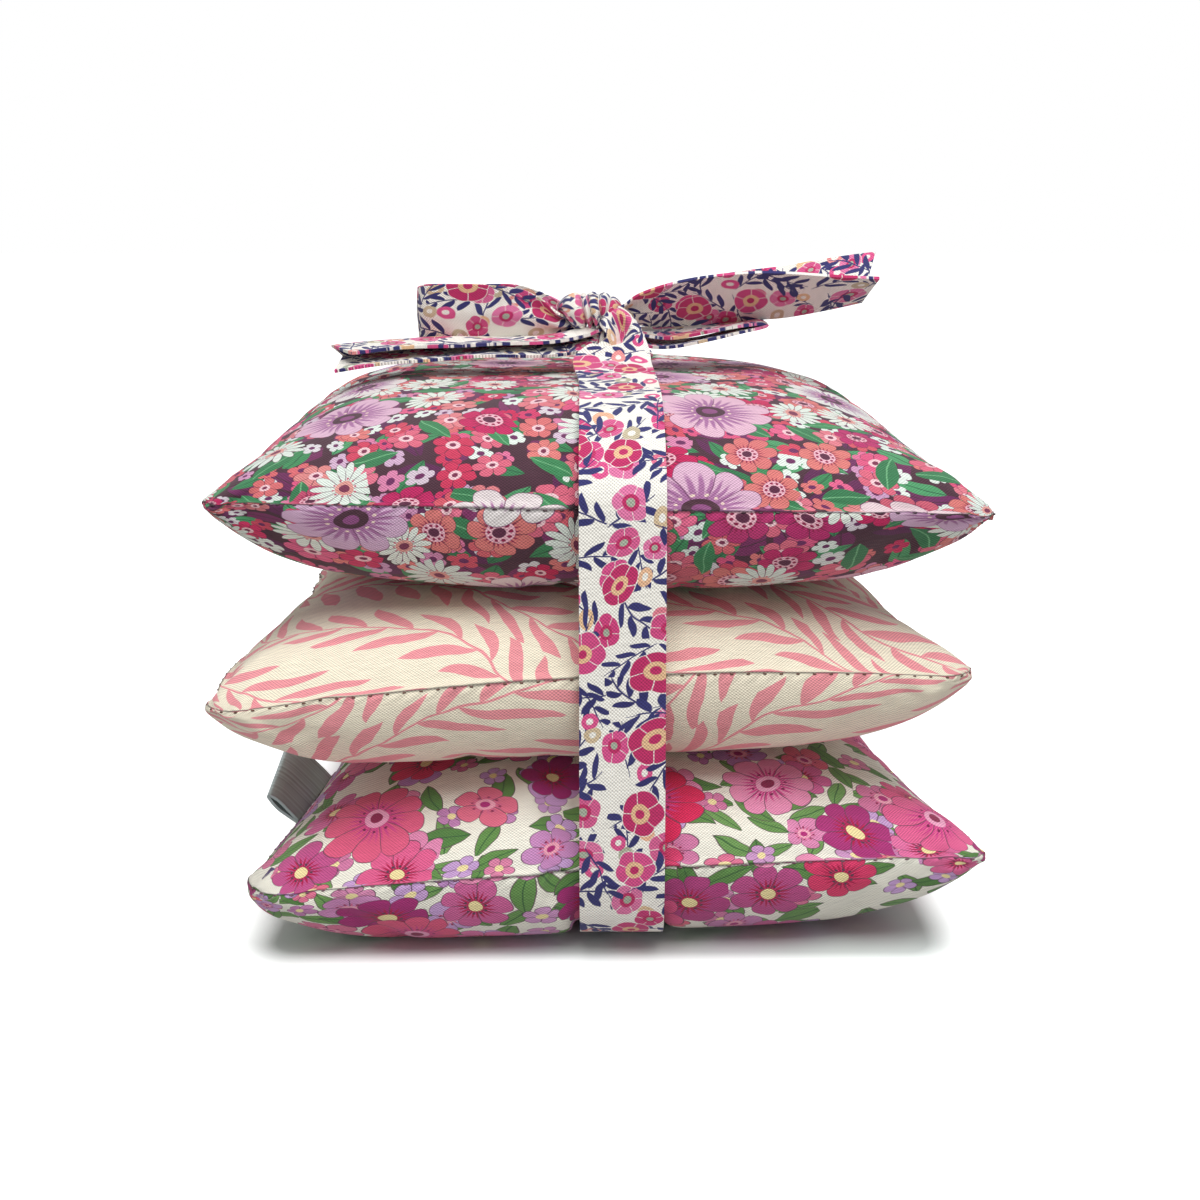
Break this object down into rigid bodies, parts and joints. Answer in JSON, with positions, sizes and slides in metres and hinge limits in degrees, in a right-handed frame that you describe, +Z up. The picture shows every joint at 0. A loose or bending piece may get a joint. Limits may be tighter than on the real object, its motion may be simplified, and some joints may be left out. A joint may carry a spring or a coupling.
{
  "type": "lavender sachet stack",
  "caption": "Stack of plump square lavender sachets in floral cotton, tied front to back with a folded cotton ribbon and a bow, with a small folded satin tab in a side seam.",
  "frame": {"origin": "centre of the stack's outline on the surface that it stands on", "axes": "+X to the right along the front edge, +Y to the back along the ribbon, +Z up through the knot"},
  "size_m": [0.1236, 0.1278, 0.11],
  "materials": {
    "bottom_sachet_print": "plain-weave cotton",
    "middle_sachet_print": "plain-weave cotton",
    "top_sachet_print": "plain-weave cotton",
    "dried_lavender": "loose dried flower buds",
    "printed_ribbon": "folded plain-weave cotton",
    "grey_satin": "satin ribbon"
  },
  "bodies": {
    "root": {"bottom_sachet_top_panel": "bottom_sachet_print", "bottom_sachet_bottom_panel": "bottom_sachet_print", "bottom_sachet_lavender_fill": "dried_lavender", "middle_sachet_top_panel": "middle_sachet_print", "middle_sachet_bottom_panel": "middle_sachet_print", "middle_sachet_lavender_fill": "dried_lavender", "top_sachet_top_panel": "top_sachet_print", "top_sachet_bottom_panel": "top_sachet_print", "top_sachet_lavender_fill": "dried_lavender", "ribbon_band": "printed_ribbon", "ribbon_knot": "printed_ribbon", "ribbon_loop_left": "printed_ribbon", "ribbon_loop_right": "printed_ribbon", "ribbon_tail_left": "printed_ribbon", "ribbon_tail_right": "printed_ribbon", "label_tab": "grey_satin"}
  },
  "joints": []
}
